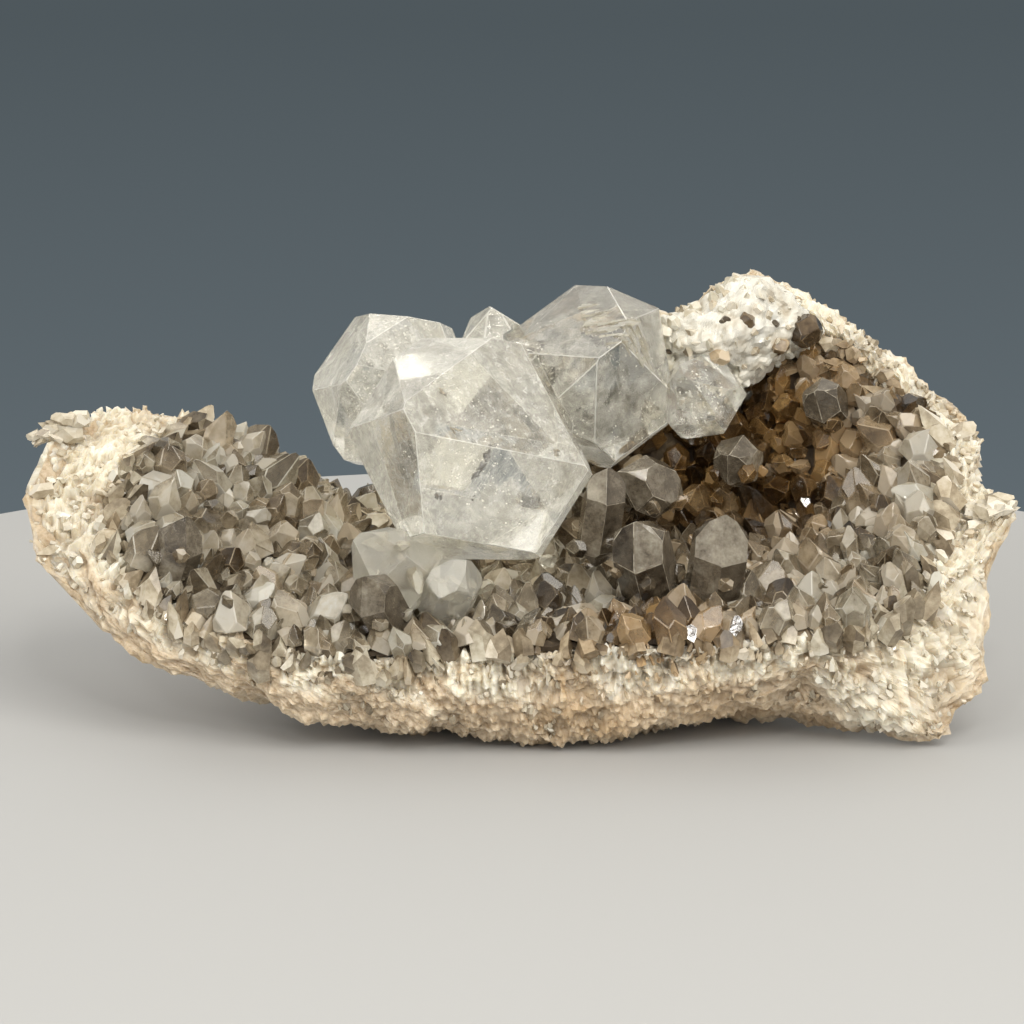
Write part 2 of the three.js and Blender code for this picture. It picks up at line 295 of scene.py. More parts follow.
def mixed(tree, share, first, second, blend="MIX"):
    made = tree.nodes.new("ShaderNodeMix")
    made.data_type = "RGBA"
    made.blend_type = blend
    for socket, value in ((made.inputs[0], share), (made.inputs[6], first), (made.inputs[7], second)):
        if isinstance(value, float):
            socket.default_value = value
        elif isinstance(value, tuple):
            socket.default_value = (*value, 1)
        else:
            tree.links.new(value, socket)
    return made.outputs[2]


def grainy(tree, where, size, detail=3.0, rough=0.55):
    made = node(
        tree, "ShaderNodeTexNoise", {"Vector": where}, Scale=1 / size, Detail=detail, Roughness=rough)
    return made.outputs["Fac"]


def times(tree, first, second):
    made = node(tree, "ShaderNodeMath", operation="MULTIPLY", use_clamp=True)
    for socket, value in zip(made.inputs, (first, second)):
        if isinstance(value, float):
            socket.default_value = value
        else:
            tree.links.new(value, socket)
    return made.outputs[0]


def bumpy(tree, height, strength, distance):
    made = node(tree, "ShaderNodeBump", {"Height": height}, Strength=strength, Distance=distance)
    return made.outputs["Normal"]


def crust_rock():
    cream = (0.83, 0.775, 0.63)
    tan = (0.64, 0.525, 0.38)
    rusty = (0.50, 0.35, 0.20)
    hollow_shade_brown = (0.24, 0.16, 0.09)
    made, tree, shader = material(
        "crust rock", Subsurface_Weight=0.35, Subsurface_Radius=(1.0, 0.85, 0.6),
        Subsurface_Scale=0.9 * mm)
    where = own_place(tree)
    streaks = grainy(tree, attribute(tree, "columns", "Vector"), 0.45 * mm, 3.0, 0.6)
    patches = grainy(tree, where, 5.0 * mm)
    grain = grainy(tree, where, 0.35 * mm, 3.0, 0.65)
    band = ramp(tree, streaks, (0.28, (0.56, 0.45, 0.31)), (0.45, cream), (0.68, (0.93, 0.90, 0.80)))
    skin = ramp(tree, grain, (0.3, (0.36, 0.26, 0.16)), (0.55, tan), (0.75, (0.72, 0.61, 0.46)))
    skin_share = ramp(tree, attribute(tree, "across"), (0.72, 0.0), (0.97, 1.0))
    rust_share = times(tree, ramp(tree, patches, (0.50, 0.0), (0.66, 1.0)), 0.7)
    rusted = mixed(tree, rust_share, mixed(tree, skin_share, band, skin), rusty)
    # Painted shade in the hollows of the relief, mixed towards a dark brown.
    hollow_shade_share = times(tree, attribute(tree, "hollow"), 0.5)
    drive(
        tree, shader,
        Base_Color=mixed(tree, hollow_shade_share, rusted, hollow_shade_brown),
        Roughness=ramp(tree, streaks, (0.3, 0.35), (0.7, 0.7)),
        Normal=bumpy(tree, grain, 0.5, 0.06 * mm))
    return made


def hand_over(piece, slot, *materials):
    """Gives a piece its materials and sets it on the one body. The slot is not used."""
    piece.data.materials.clear()
    for layer in materials:
        piece.data.materials.append(layer)
    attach(piece, "root")


hand_over(crust, "crust", crust_rock())
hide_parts("crust")


# Quartz points: what the druse and the broken edge are grown from. Each is a six-sided prism
# about 1 unit across, cut to a point by six faces that lie 38.2 degrees off the prism.

quartz_ior = 1.544
prism_radius = 0.56
prism_half = 0.485
tip_height = 0.62
tip_slope = math.radians(38.2)


def quartz_point(length, shifts, soft=0.0):
    """The corners, sides and bevelled sides of one point, its height scaled to 1."""
    bpy.ops.object.select_all(action="DESELECT")
    bpy.ops.mesh.primitive_cylinder_add(
        vertices=6, radius=prism_radius, depth=2 * length, end_fill_type="NGON")
    point = bpy.context.object
    bpy.ops.object.mode_set(mode="EDIT")
    for side, shift in enumerate(shifts):
        compass = math.radians(30 + 60 * side)
        outward = Vector((
            math.cos(compass) * math.cos(tip_slope),
            math.sin(compass) * math.cos(tip_slope),
            math.sin(tip_slope),
        ))
        reach = (length - tip_height) * math.sin(tip_slope) + prism_half * math.cos(tip_slope) + shift
        bpy.ops.mesh.select_all(action="SELECT")
        bpy.ops.mesh.bisect(plane_co=outward * reach, plane_no=outward, use_fill=True, clear_outer=True)
    bpy.ops.mesh.select_all(action="SELECT")
    bpy.ops.mesh.bisect(plane_co=(0, 0, 0), plane_no=(0, 0, -1), use_fill=True, clear_outer=True)
    bpy.ops.mesh.select_all(action="SELECT")
    bpy.ops.mesh.remove_doubles(threshold=0.02)
    bpy.ops.mesh.normals_make_consistent(inside=False)
    bpy.ops.mesh.select_all(action="DESELECT")
    if soft:
        bpy.ops.mesh.select_all(action="SELECT")
        bpy.ops.mesh.bevel(offset=soft, segments=1, affect="EDGES")
    bpy.ops.object.mode_set(mode="OBJECT")
    corners = points_of(point)
    corners[:, 2] /= corners[:, 2].max()
    sides = [tuple(face.vertices) for face in point.data.polygons]
    # The bevelled faces, marked for a painted highlight.
    edge_highlights = [float(face.select) for face in point.data.polygons]
    bpy.data.objects.remove(point)
    return corners, sides, edge_highlights


chance = np.random.default_rng(11)
point_kinds = [
    quartz_point(length, chance.uniform(-0.10, 0.12, 6), 0.022)
    for length in (0.85, 0.95, 1.05, 1.2, 1.0, 1.35, 1.1, 1.6)
]
flat_kinds = [
    quartz_point(length, chance.uniform(-0.25, 0.15, 6))
    for length in (0.9, 1.1, 1.4, 1.8)
]


def grow(name, kinds, seeds, spread, flatten=0.78):
    """One mesh of quartz points. A seed is root, axis, width, length, root and tip tone, stain."""
    corners = []
    sides = []
    tints = []
    edges = []
    first = 0
    for root, axis, width, length, root_tone, tip_tone, stain in seeds:
        shape, shape_sides, shape_edges = kinds[spread.integers(len(kinds))]
        spin = Matrix.Rotation(spread.uniform(0, 6.28), 3, "Z")
        turn = axis.to_track_quat("Z", "Y").to_matrix() @ spin
        size = np.array((width, width * spread.uniform(flatten, 1.0), length))
        corners.append((shape * size) @ np.array(turn).T + np.array(root))
        along = shape[:, 2]
        light = root_tone + (tip_tone - root_tone) * along
        same = np.ones_like(light)
        tints.append(np.stack([light, same * stain, along, same * spread.random()], 1))
        sides.extend(tuple(corner + first for corner in side) for side in shape_sides)
        edges.extend(shape_edges)
        first += len(shape)
    mesh = bpy.data.meshes.new(name)
    mesh.from_pydata(np.concatenate(corners).tolist(), [], sides)
    tint = mesh.attributes.new("tint", "FLOAT_COLOR", "POINT")
    tint.data.foreach_set("color", np.concatenate(tints).astype(np.float32).ravel())
    # The bevelled faces are marked so their tone can be raised as a painted highlight.
    wear_and_edge_light = mesh.attributes.new("edge_highlight", "FLOAT", "FACE")
    wear_and_edge_light.data.foreach_set("value", edges)
    mesh.update()
    piece = bpy.data.objects.new(name, mesh)
    bpy.context.scene.collection.objects.link(piece)
    return piece


def seed(place, axis, width, length, root_tone, tip_tone, stain, sunk=0.0):
    """One listed point, in mm, sunk a little way into what it grows on."""
    axis = Vector(axis).normalized()
    root = Vector(place) * mm - axis * sunk * mm
    return root, axis, width * mm, (length + sunk) * mm, root_tone, tip_tone, stain


cell_size = 1.5 * mm


def crowded(place, cell, spacing, taken):
    """Whether another point stands too near, in this cell of the grid or in one beside it."""
    steps = (-1, 0, 1)
    for i, j, k in itertools.product(steps, steps, steps):
        for other, room in taken.get((cell[0] + i, cell[1] + j, cell[2] + k), ()):
            if (place - other).length < (spacing + room) / 2:
                return True
    return False


def strew(mesh, wanted, spacing, tries, spread, taken):
    """Places and normals spread over the wanted faces, none nearer than the spacing to another."""
    normals, areas = faces_of(mesh)[1:]
    chosen = np.nonzero(wanted)[0]
    picks = spread.choice(chosen, tries, p=areas[chosen] / areas[chosen].sum())
    found = []
    for index in picks:
        a, b, c = (mesh.vertices[corner].co for corner in mesh.polygons[index].vertices[:3])
        s, t = spread.random(2)
        if s + t > 1:
            s, t = 1 - s, 1 - t
        place = a + (b - a) * s + (c - a) * t
        cell = tuple(int(math.floor(value / cell_size)) for value in place)
        if crowded(place, cell, spacing, taken):
            continue
        taken.setdefault(cell, []).append((place, spacing))
        found.append((place, Vector(normals[index])))
    return found


def facet_light(tree, offset=None):
    """Painted light and shade for every flat face, set by the way the face points, standing in for light
    caught inside a crystal.
    """
    way = node(tree, "ShaderNodeNewGeometry").outputs["True Normal"]
    made = node(tree, "ShaderNodeTexNoise", {"Vector": way}, noise_dimensions="4D", Scale=2.3, Detail=1.0)
    if offset is not None:
        steps = node(tree, "ShaderNodeMath", {0: offset}, operation="MULTIPLY")
        steps.inputs[1].default_value = 50.0
        tree.links.new(steps.outputs[0], made.inputs["W"])
    return made.outputs["Fac"]


def spread_out(tree, source, low_in, high_in, low_out, high_out):
    made = node(tree, "ShaderNodeMapRange", {"Value": source})
    made.inputs["From Min"].default_value = low_in
    made.inputs["From Max"].default_value = high_in
    made.inputs["To Min"].default_value = low_out
    made.inputs["To Max"].default_value = high_out
    return made.outputs[0]


def plus(tree, first, second):
    made = node(tree, "ShaderNodeMath", {0: first, 1: second}, operation="ADD", use_clamp=True)
    return made.outputs[0]


def quartz_tone():
    """The colour, roughness and relief of a small quartz point, from its tint attribute, with painted light
    on its facets and a painted highlight on its bevelled edges.
    """
    tone = bpy.data.node_groups.new("quartz tone", "ShaderNodeTree")
    tone.interface.new_socket("Worn", in_out="INPUT", socket_type="NodeSocketFloat")
    tone.interface.new_socket("Colour", in_out="OUTPUT", socket_type="NodeSocketColor")
    tone.interface.new_socket("Roughness", in_out="OUTPUT", socket_type="NodeSocketFloat")
    tone.interface.new_socket("Normal", in_out="OUTPUT", socket_type="NodeSocketVector")
    group_in = tone.nodes.new("NodeGroupInput")
    group_out = tone.nodes.new("NodeGroupOutput")
    where = own_place(tone)
    tint = node(tone, "ShaderNodeSeparateXYZ", {"Vector": attribute(tone, "tint", "Vector")})
    one_crystal = attribute(tone, "tint", "Alpha")
    cloud = spread_out(tone, grainy(tone, where, 0.9 * mm, 4.0, 0.65), 0.3, 0.7, -0.16, 0.16)
    # Painted light: each facet lighter or darker by the way it faces.
    facet = spread_out(tone, facet_light(tone, one_crystal), 0.3, 0.7, -0.28, 0.28)
    # Painted highlight: the bevelled edges are made paler.
    edge_light = times(tone, attribute(tone, "edge_highlight"), 0.14)
    light = plus(tone, plus(tone, plus(tone, tint.outputs["X"], cloud), facet), edge_light)
    quartz = ramp(
        tone, light,
        (0.0, (0.022, 0.015, 0.009)), (0.22, (0.085, 0.063, 0.040)), (0.45, (0.22, 0.18, 0.125)),
        (0.65, (0.44, 0.38, 0.28)), (0.82, (0.74, 0.68, 0.54)), (1.0, (0.93, 0.90, 0.80)))
    stained = mixed(tone, 1.0, quartz, (0.78, 0.52, 0.26), "MULTIPLY")
    scratched = ramp(tone, grainy(tone, where, 0.5 * mm, 2.0, 0.5), (0.45, 0.0), (0.75, 0.16))
    pits = grainy(tone, where, 0.35 * mm, 3.0, 0.6)
    drive(
        tone, group_out,
        Colour=mixed(tone, tint.outputs["Y"], quartz, stained),
        Roughness=plus(tone, scratched, group_in.outputs["Worn"]),
        Normal=bumpy(tone, pits, 0.18, 0.04 * mm))
    return tone


tone = quartz_tone()


def quartz_material(name, wear_and_edge_light, glassy):
    made, tree, shader = material(name, Transmission_Weight=glassy, IOR=quartz_ior)
    group = tree.nodes.new("ShaderNodeGroup")
    group.node_tree = tone
    group.inputs["Worn"].default_value = wear_and_edge_light
    drive(
        tree, shader, Base_Color=group.outputs["Colour"], Roughness=group.outputs["Roughness"],
        Normal=group.outputs["Normal"])
    return made


# Smoky druse: a carpet of smoky quartz points, 0.6 to 2.4 mm across, over the inside of the
# dish, grown on a dark bed whose near-black brown is partly the smoky quartz's own colour and
# partly painted shade between the points. They are glassy grey-brown, paler at the root, and
# stained amber at the back right.

large_trees = [
    whole_tree(nodes[name].data)
    for name in nodes if name.endswith("_crystal") or name == "white_quartz_ledge"
]


look_past = 0.4 * mm
crystal_gap = 0.25 * mm
overhang = 0.55 * mm
root_gap = 0.55 * mm


def free_length(root, axis, wanted):
    """How far a point can grow before it meets one of the larger crystals."""
    length = wanted
    for large in large_trees:
        distance = large.ray_cast(root, axis, wanted + look_past)[3]
        if distance is not None:
            length = min(length, distance - crystal_gap)
    return length


def inside_box(tip, width):
    """Whether a point of this width keeps to the CAD box, give or take a small overhang."""
    spare = overhang - width / 2
    return all(low[i] - spare < tip[i] < high[i] + spare for i in range(3))


def height_over(solid, place):
    """How far a place lies outside a closed solid, less than nothing inside it."""
    nearest, normal = solid.find_nearest(place)[:2]
    return (place - nearest).dot(normal)


def inside_large(place):
    return any(height_over(large, place) < 0 for large in large_trees)


def lies_on_crust(mesh):
    """The faces of the druse's own solid that are its roots and not its tips."""
    near = [dish_tree.find_nearest(vertex.co)[3] < root_gap for vertex in mesh.vertices]
    return np.array([all(near[corner] for corner in face.vertices) for face in mesh.polygons])


def scattered(spread, amount):
    return Vector(spread.normal(0, amount, 3))


bed = copy_of("smoky_druse", "druse_bed")
select_faces(bed, ~lies_on_crust(bed.data))
pick(bed)
bpy.ops.object.mode_set(mode="EDIT")
bpy.ops.mesh.delete(type="FACE")
bpy.ops.mesh.select_all(action="SELECT")
bpy.ops.mesh.flip_normals()
bpy.ops.mesh.subdivide(number_cuts=3)
bpy.ops.object.mode_set(mode="OBJECT")
bed_points = points_of(bed)
rim_tree = tree_of(crust_cad, (crust_facing < dish_facing) | bare_strip(crust_cad))
bed_margin = 1.6 * mm
for vertex in bed.data.vertices:
    place = vertex.co.copy()
    hump = noise.noise(place / (1.1 * mm))
    pit = noise.voronoi(place / (0.9 * mm))[0][0]
    inland = min(1.0, rim_tree.find_nearest(place)[3] / bed_margin)
    bed_points[vertex.index] = place + vertex.normal * (0.25 + 0.35 * hump - 0.35 * pit) * inland * mm
place_points(bed, bed_points)
thick = bed.modifiers.new("thickness", "SOLIDIFY")
thick.thickness = 0.3 * mm
thick.offset = -1.0
bpy.ops.object.modifier_apply(modifier=thick.name)

amber_heart = Vector((14.0, 6.0, 16.0)) * mm
amber_reach = 8.0 * mm
front_rust = Vector((8.5, -11.0, 6.0)) * mm
rust_reach = 4.5 * mm


def stain_at(place, spread):
    amber = 1.2 * math.exp(-((place - amber_heart).length / amber_reach) ** 2)
    rusty = 0.9 * math.exp(-((place - front_rust).length / rust_reach) ** 2)
    amount = 0.18 + max(amber, rusty) * spread.uniform(0.6, 1.1) + spread.normal(0, 0.12)
    return between(amount, 0.0, 1.0)


def druse_tone(place, stain, start):
    """Paler towards the ends and up the right wall, darker in the amber hollow at the back."""
    tone = start
    if place.x > 16 * mm:
        tone += 0.45 * between((place.z - 9 * mm) / (8 * mm), 0.0, 1.0)
    tone += 0.20 * min(1.0, abs(place.x) / (13 * mm))
    return tone - (0.35 * stain if place.y > 0 else 0.0)


# Each size: width from and to, and room for each, in mm, and how many places are tried.
druse_sizes = (
    (1.8, 2.4, 1.7, 260),
    (1.15, 1.8, 0.92, 20000),
    (0.6, 1.1, 0.55, 50000),
)
druse_height = 2.5 * mm
shortest = 0.3 * mm
druse_lean = 0.46
druse_pull = Vector((0, -0.15, 0.25))
lowest_rise = 0.45
pale_share = 0.12
spread = np.random.default_rng(7)
under = lies_on_crust(druse_cad) & (facing_heart(druse_cad) < -0.15)
taken = {}
seeds = []
for least, most, spacing, tries in druse_sizes:
    for place, down in strew(druse_cad, under, spacing * mm, tries, spread, taken):
        up = -down
        axis = (up + (scattered(spread, druse_lean) + druse_pull)).normalized()
        if axis.dot(up) < lowest_rise:
            axis = (axis + up).normalized()
        width = spread.uniform(least, most) * mm
        length = min(width * spread.uniform(0.9, 1.5), druse_height / max(0.5, axis.dot(up)))
        length = free_length(place, axis, length)
        if length < shortest or not inside_box(place + axis * length, width):
            continue
        start = 0.10 + spread.beta(1.3, 1.7) * 0.72
        if spread.random() < pale_share:
            start = spread.uniform(0.65, 0.95)
        stain = stain_at(place, spread)
        pale = druse_tone(place, stain, start)
        root_tone = min(1.0, pale + 0.25)
        seeds.append((place + up * 0.1 * mm, axis, width, length, root_tone, min(1.0, pale), stain))

for name in nodes:
    if not name.startswith("smoky_") or name == "smoky_druse":
        continue
    large = nodes[name].data
    heights = [vertex.co.z for vertex in large.vertices]
    belt = min(heights) + 0.5 * (max(heights) - min(heights))
    for place, up in strew(large, np.ones(len(large.polygons), bool), 1.5 * mm, 90, spread, {}):
        if place.z > belt:
            continue
        axis = (up + scattered(spread, 0.3) + Vector((0, -0.1, 0.7))).normalized()
        width = spread.uniform(0.6, 1.3) * mm
        pale = 0.30 + spread.random() * 0.4
        root = place - axis * width * 0.2
        seeds.append((root, axis, width, width * 0.95, pale, pale + 0.1, stain_at(place, spread)))

druse = grow("druse_points", point_kinds, seeds, spread)
hand_over(druse, "smoky_druse", quartz_material("smoky quartz", 0.01, 0.62))
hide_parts("smoky_druse")


def druse_bed_and_shade():
    made, tree, shader = material("druse bed", Roughness=0.8)
    mottle = grainy(tree, own_place(tree), 0.9 * mm, 4.0, 0.6)
    # Near-black brown: partly the smoky quartz's own colour, partly painted shade between the points.
    drive(tree, shader, Base_Color=ramp(
        tree, mottle, (0.3, (0.025, 0.016, 0.009)), (0.55, (0.07, 0.048, 0.027)), (0.8, (0.16, 0.12, 0.075))))
    return made


hand_over(bed, "smoky_druse", druse_bed_and_shade())


# Broken edge: the roots of the same quartz, snapped across. Cream half-clear columns lie from
# the skin to the dish, smoky where they come out into the druse, with fine grains on the skin.

# Far past the whole specimen, in mm.
everywhere = 99
# Each size: width from and to, and room for each, in mm, how many places are tried, and how
# far from the druse they reach, in mm. Those that keep near the druse stand up from the edge.
edge_sizes = (
    (0.9, 1.7, 0.85, 12000, 1.6),
    (0.5, 0.9, 0.55, 14000, 1.8),
    (0.6, 1.1, 0.8, 8000, everywhere),
    (0.32, 0.62, 0.4, 24000, everywhere),
    (0.22, 0.38, 0.27, 40000, everywhere),
)
edge_end = -0.66
floor_gap = 0.35 * mm
spread = np.random.default_rng(23)
crust_tree = whole_tree(crust_cad)
on_edge = ((crust_facing < dish_facing) & (crust_facing > edge_end)) | bare_strip(crust_cad)
taken = {}
seeds = []
for least, most, spacing, tries, reach in edge_sizes:
    standing = reach != everywhere
    for place, up in strew(crust_cad, on_edge, spacing * mm, tries, spread, taken):
        nearest = druse_tree.find_nearest(place)
        druse_point, from_druse = nearest[0], nearest[3]
        if from_druse > reach * mm:
            continue
        through = across_plate(place)[1]
        inwards = druse_point - place
        inwards -= up * inwards.dot(up)
        inwards = inwards.normalized() if inwards.length > 0.1 * mm else Vector((0, 0, 1))
        near_druse = max(0.0, 1.0 - from_druse / (2.4 * mm))
        outwards = spread.uniform(0.0, 0.35 + 1.0 * near_druse)
        axis = inwards + up * outwards + scattered(spread, 0.3)
        axis = (axis + Vector((0, 0, 0.4 * near_druse))).normalized()
        width = spread.uniform(least, most) * mm
        length = width * spread.uniform(1.0, 1.7 + near_druse)
        root = place - axis * length * 0.45 - up * width * 0.42
        if standing:
            axis = inwards * 0.5 + up * 0.7 + Vector((0, -0.1, 0.5)) + scattered(spread, 0.3)
            axis = axis.normalized()
            length = free_length(place, axis, width * spread.uniform(1.1, 1.7))
            root = place - axis * width * 0.35
        tip = root + axis * length
        if min(root.z, tip.z) < floor_gap or inside_large(tip):
            continue
        if not standing and height_over(crust_tree, root) > -0.05 * mm:
            continue
        if not inside_box(tip, width) or not inside_box(root, width):
            continue
        light = spread.uniform(0.80, 1.0) - 0.20 * max(0.0, through - 0.8) / 0.2
        fade = spread.uniform(0.2, 0.8) if standing else spread.uniform(0.1, 0.6)
        stain = stain_at(place, spread) * 0.8
        root_tone = light - 0.25 * near_druse
        seeds.append((root, axis, width, length, root_tone, light - near_druse * fade, stain))


def ridge(start, end, thick, thin, spread):
    """A jagged ridge of broken points that narrows from start to end."""
    start = Vector(start) * mm
    end = Vector(end) * mm
    last = 21
    points = []
    for step in range(last + 1):
        share = step / last
        width = (thick + (thin - thick) * share) * spread.uniform(0.7, 1.1) * mm
        axis = ((end - start).normalized() * 1.2 + scattered(spread, 0.38)).normalized()
        place = start.lerp(end, share) + scattered(spread, 0.16 + 0.22 * (1 - share)) * mm
        light = spread.uniform(0.82, 1.0)
        length = width * spread.uniform(1.1, 1.7)
        points.append((place - axis * width * 0.6, axis, width, length, light, light, 0.15))
    return points


seeds += ridge((-27.6, 0.2, 17.4), (-30.1, -0.2, 16.9), 1.4, 0.6, spread)
seeds += ridge((28.3, -3.0, 12.8), (30.5, -3.1, 13.0), 1.5, 0.5, spread)
for place, axis, width, length in (
    ((-29.2, -3.1, 14.2), (-1.0, -0.3, -0.1), 1.2, 1.1),
    ((-28.6, -5.6, 11.2), (-0.9, -0.4, -0.2), 1.1, 1.1),
    ((23.6, -10.6, 1.9), (-0.6, -0.3, -0.4), 1.2, 1.3),
    ((27.9, 3.2, 16.3), (0.7, 0.1, 0.5), 1.2, 1.1),
):
    seeds.append(seed(place, axis, width, length, 0.84, 0.9, 0.2, sunk=0.4))
for place, axis, width, length, light in (
    ((24.6, 5.4, 17.2), (0.2, -0.8, 0.5), 2.1, 2.0, 0.22),
    ((25.6, 5.0, 16.6), (0.4, -0.7, 0.5), 1.6, 1.6, 0.35),
    ((23.4, 5.6, 18.0), (0.0, -0.8, 0.6), 1.5, 1.5, 0.5),
):
    seeds.append(seed(place, axis, width, length, light + 0.2, light, 0.6))
edge_columns = grow("edge_columns", flat_kinds, seeds, spread, 0.5)
edge_quartz = quartz_material("edge quartz", 0.08, 0.30)
hand_over(edge_columns, "crust", edge_quartz)


# White ledge: a shelf of sugary white quartz along the top of the steep wall. It is a lumpy
# half-clear mass with small white points on it and smoky ones sunk in its face.

ledge = copy_of("white_quartz_ledge", "white_ledge")
pick(ledge)
bpy.ops.object.mode_set(mode="EDIT")
bpy.ops.mesh.select_all(action="SELECT")
bpy.ops.mesh.subdivide(number_cuts=5)
bpy.ops.mesh.subdivide(number_cuts=1)
bpy.ops.object.mode_set(mode="OBJECT")
ledge_places = points_of(ledge)
for vertex in ledge.data.vertices:
    place = vertex.co.copy()
    lump = noise.voronoi(place / (0.95 * mm))[0][0]
    swell = noise.noise(place / (2.6 * mm))
    grit = noise.noise(place / (0.3 * mm))
    rise = 0.30 - 0.55 * lump + 0.45 * swell + 0.10 * grit
    ledge_places[vertex.index] = place + vertex.normal * rise * mm
place_points(ledge, np.clip(ledge_places, low, high))


def white_quartz():
    made, tree, shader = material("white quartz", Transmission_Weight=0.22, IOR=quartz_ior)
    patch = grainy(tree, own_place(tree), 1.6 * mm, 4.0, 0.6)
    drive(
        tree, shader,
        Base_Color=ramp(
            tree, patch, (0.3, (0.62, 0.54, 0.42)), (0.46, (0.84, 0.80, 0.70)), (0.75, (0.94, 0.93, 0.88))),
        Roughness=ramp(tree, patch, (0.3, 0.4), (0.7, 0.16)))
    return made


hand_over(ledge, "white_quartz", white_quartz())
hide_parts("white_quartz_ledge")

spread = np.random.default_rng(31)
ledge_cad = nodes["white_quartz_ledge"].data
ledge_top = high[2] + 0.3 * mm
seeds = []
for place, up in strew(ledge_cad, np.ones(len(ledge_cad.polygons), bool), 0.78 * mm, 2600, spread, {}):
    axis = (up + scattered(spread, 0.45) + Vector((0, 0, 0.2))).normalized()
    width = spread.uniform(0.3, 0.95) * mm
    length = width * spread.uniform(0.8, 1.5)
    root = place - axis * length * 0.55
    if (root + axis * length).z > ledge_top:
        continue
    white = spread.random() < 0.93
    light = spread.uniform(0.8, 1.0) if white else spread.uniform(0.2, 0.5)
    seeds.append((root, axis, width, length, light, light, 0.3 * spread.random() ** 3))
for place, axis, width, length, light in (
    ((17.9, 6.4, 22.3), (0.5, -0.8, 0.2), 2.0, 1.9, 0.22),
    ((14.3, 4.9, 23.2), (0.3, -0.9, 0.3), 1.3, 1.2, 0.30),
    ((16.4, 5.6, 21.6), (0.3, -0.8, -0.2), 1.2, 1.1, 0.55),
    ((12.6, 4.5, 21.0), (0.0, -0.9, 0.2), 1.3, 1.1, 0.85),
):
    seeds.append(seed(place, axis, width, length, light, light, 0.5))
ledge_grains = grow("ledge_points", point_kinds, seeds, spread)
hand_over(ledge_grains, "white_quartz", edge_quartz)


# Clear crystals: doubly terminated quartz, water clear with faint veils. The faces are nearly
# true, with fine growth lines across the long axis, and every edge is very slightly rounded.

clear_colour = (0.985, 0.975, 0.925)
absorbed_colour = (0.93, 0.91, 0.84)
absorbed_density = 10.0
film_colour = (0.92, 0.91, 0.86)


def growth_lines(tree, where, compass, tilt):
    """Stretched noise that runs across the crystal's long axis."""
    turned = node(tree, "ShaderNodeMapping", {"Vector": where}, vector_type="TEXTURE")
    turned.inputs["Rotation"].default_value = (0, math.radians(90 - tilt), math.radians(compass))
    turned.inputs["Scale"].default_value = (1.0, 1.0, 0.07)
    stretched = grainy(tree, turned.outputs["Vector"], 2.4 * mm, 2.0, 0.6)
    return ramp(tree, stretched, (0.50, 0.0), (0.58, 1.0))


def clear_quartz(name, clearness, roughness, film_share, compass, tilt):
    """See-through quartz under a patchy pale film. Shadow rays pass straight through it."""
    made, tree, shader = material(name, Transmission_Weight=clearness, IOR=quartz_ior)
    where = own_place(tree)
    dim = tuple(part * 0.74 for part in clear_colour)
    smudged = ramp(tree, grainy(tree, where, 0.9 * mm, 6.0, 0.75), (0.38, dim), (0.62, clear_colour))
    # Painted light: each facet lighter or darker by the way it faces.
    facet = ramp(tree, facet_light(tree), (0.35, 0.80), (0.60, 1.0))
    haze = grainy(tree, where, 2.0 * mm, 3.0, 0.6)
    ripple = grainy(tree, where, 0.55 * mm, 3.0, 0.6)
    lines = growth_lines(tree, where, compass, tilt)
    relief = plus(tree, times(tree, lines, 0.35), times(tree, ripple, 0.55))
    drive(
        tree, shader,
        Base_Color=mixed(tree, 1.0, smudged, facet, "MULTIPLY"),
        Roughness=ramp(tree, haze, (0.45, roughness), (0.75, roughness + 0.06)),
        Normal=bumpy(tree, relief, 0.28, 0.03 * mm))
    film = node(tree, "ShaderNodeBsdfDiffuse", Color=(*film_colour, 1))
    film_cover = ramp(tree, grainy(tree, where, 0.7 * mm, 7.0, 0.78), (0.46, 0.0), (0.70, film_share))
    veiled = node(tree, "ShaderNodeMixShader", {
        0: film_cover, 1: shader.outputs["BSDF"], 2: film.outputs["BSDF"]})
    straight = node(tree, "ShaderNodeBsdfTransparent", Color=(*clear_colour, 1))
    ray = node(tree, "ShaderNodeLightPath")
    lit = node(tree, "ShaderNodeMixShader", {
        0: ray.outputs["Is Shadow Ray"], 1: veiled.outputs["Shader"], 2: straight.outputs["BSDF"]})
    inside = node(tree, "ShaderNodeVolumeAbsorption", Color=(*absorbed_colour, 1), Density=absorbed_density)
    drive(
        tree, tree.nodes["Material Output"], Surface=lit.outputs["Shader"],
        Volume=inside.outputs["Volume"])
    return made


def chipped_and_highlit_edge():
    # Painted highlight on every bevelled edge, broken up by noise, over real whitened chips.
    made, tree, shader = material(
        "chipped edge", Roughness=0.18, Transmission_Weight=0.6, IOR=quartz_ior)
    chips = grainy(tree, own_place(tree), 0.7 * mm, 4.0, 0.7)
    drive(tree, shader, Base_Color=ramp(
        tree, chips, (0.35, (0.70, 0.68, 0.62)), (0.55, (1.0, 0.99, 0.95))))
    return made


def dress_crystal(crystal, face_material, edge_material, edge_width):
    """Gives a CAD crystal its materials and narrow bevelled edges in a paler edge material, partly chips and
    partly a painted highlight, with its own shape kept.
    """
    crystal.data.materials.clear()
    crystal.data.materials.append(face_material)
    crystal.data.materials.append(edge_material)
    weld = crystal.modifiers.new("Weld", "WELD")
    weld.merge_threshold = weld_gap
    edge = crystal.modifiers.new("Bevel", "BEVEL")
    edge.width = edge_width
    edge.segments = 1
    edge.material = 1
    edge.limit_method = "ANGLE"
    edge.angle_limit = math.radians(12)


edge_white = chipped_and_highlit_edge()
